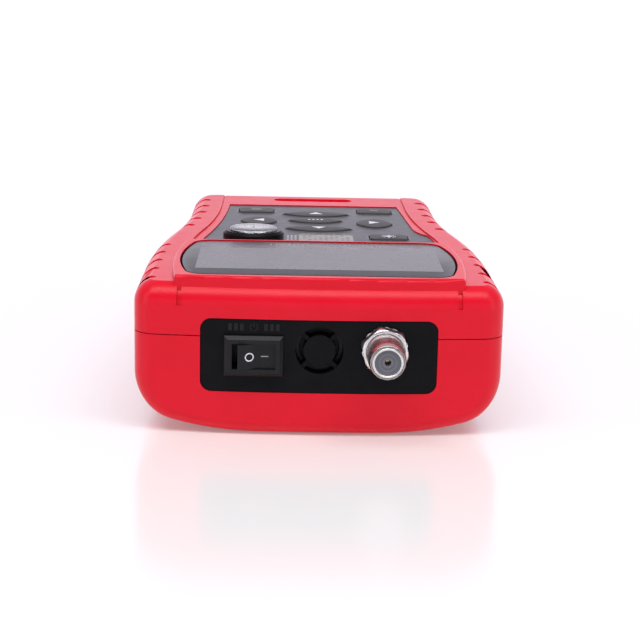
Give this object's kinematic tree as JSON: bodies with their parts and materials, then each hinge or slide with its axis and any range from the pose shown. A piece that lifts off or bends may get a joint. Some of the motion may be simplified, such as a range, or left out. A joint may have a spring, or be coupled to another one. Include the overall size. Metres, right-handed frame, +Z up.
{
  "type": "handheld signal meter",
  "caption": "Handheld satellite signal meter with display, keypad and compass; end panel with rocker power switch, sounder vent and threaded aerial socket.",
  "frame": {"origin": "on the flat of the underside, at the middle of the case's length and width, the aerial socket left out", "axes": "+X across the case, to the right when the end panel faces the viewer; +Y from the end panel to the far end; +Z up through the display"},
  "size_m": [0.095, 0.1688, 0.0422],
  "materials": {
    "case_red": "satin",
    "panel_black": "matt",
    "keypad_grey": "satin",
    "window": "clear",
    "display_glass": "gloss",
    "nickel": "polished",
    "steel": "satin",
    "brass": "satin",
    "compass_black": "gloss",
    "card_white": "matt",
    "crystal": "clear",
    "board_green": "satin",
    "black_plastic": "matt",
    "insulator_grey": "satin",
    "light_guide": "gloss",
    "ribbon_amber": "gloss",
    "cell_blue": "satin",
    "tape_black": "matt"
  },
  "bodies": {
    "case": {"battery_cells": "cell_blue", "battery_contacts": "steel", "battery_cradle": "black_plastic", "bottom_shell": "case_red", "case_screws": "steel", "charge_board": "board_green", "charge_board_screws": "steel", "charge_jack": "black_plastic", "charge_pin": "steel", "compass_crystal": "crystal", "compass_housing": "compass_black", "compass_pivot": "brass", "display_header": "black_plastic", "display_lens": "window", "end_panel": "panel_black", "key_domes": "steel", "keypad_board": "board_green", "keypad_overlay": "keypad_grey", "keypad_ribbon": "ribbon_amber", "keypad_screws": "steel", "lcd_backlight": "light_guide", "lcd_board": "board_green", "lcd_frame": "steel", "lcd_glass": "display_glass", "lcd_screws": "steel", "lens_tape": "tape_black", "lock_washer": "nickel", "main_board": "board_green", "main_board_screws": "steel", "main_chip": "black_plastic", "ribbon_socket": "black_plastic", "socket_body": "nickel", "socket_contact": "brass", "socket_insulator": "insulator_grey", "socket_nut": "nickel", "sounder_cup": "black_plastic", "sounder_disc": "brass", "switch_housing": "compass_black", "switch_terminals": "brass", "top_shell": "case_red", "tuner_can": "steel", "tuner_cover": "steel"},
    "rocker": {"switch_rocker": "compass_black"},
    "compass_card": {"compass_card": "card_white"},
    "key_down": {"key_down": "keypad_grey"},
    "key_exit": {"key_exit": "keypad_grey"},
    "key_left": {"key_left": "keypad_grey"},
    "key_light": {"key_light": "keypad_grey"},
    "key_menu": {"key_menu": "keypad_grey"},
    "key_ok": {"key_ok": "keypad_grey"},
    "key_right": {"key_right": "keypad_grey"},
    "key_up": {"key_up": "keypad_grey"}
  },
  "joints": [
    {"name": "rocker_hinge", "type": "hinge", "parent": "case", "child": "rocker", "pos_m": [-0.0166, -0.07372, 0.0209], "axis": [0, 0, -1], "range_deg": [0, 25]},
    {"name": "down_key_press", "type": "slide", "parent": "case", "child": "key_down", "axis": [0, 0, -1], "range_m": [0, 0.0004], "stiffness_N_per_m": 1500},
    {"name": "exit_key_press", "type": "slide", "parent": "case", "child": "key_exit", "axis": [0, 0, -1], "range_m": [0, 0.0004], "stiffness_N_per_m": 1500},
    {"name": "left_key_press", "type": "slide", "parent": "case", "child": "key_left", "axis": [0, 0, -1], "range_m": [0, 0.0004], "stiffness_N_per_m": 1500},
    {"name": "light_key_press", "type": "slide", "parent": "case", "child": "key_light", "axis": [0, 0, -1], "range_m": [0, 0.0004], "stiffness_N_per_m": 1500},
    {"name": "menu_key_press", "type": "slide", "parent": "case", "child": "key_menu", "axis": [0, 0, -1], "range_m": [0, 0.0004], "stiffness_N_per_m": 1500},
    {"name": "ok_key_press", "type": "slide", "parent": "case", "child": "key_ok", "axis": [0, 0, -1], "range_m": [0, 0.0004], "stiffness_N_per_m": 1500},
    {"name": "right_key_press", "type": "slide", "parent": "case", "child": "key_right", "axis": [0, 0, -1], "range_m": [0, 0.0004], "stiffness_N_per_m": 1500},
    {"name": "up_key_press", "type": "slide", "parent": "case", "child": "key_up", "axis": [0, 0, -1], "range_m": [0, 0.0004], "stiffness_N_per_m": 1500},
    {"name": "compass_spin", "type": "hinge", "parent": "case", "child": "compass_card", "pos_m": [-0.0183, -0.0083, 0.0391], "axis": [0, 0, 1], "continuous": true}
  ]
}
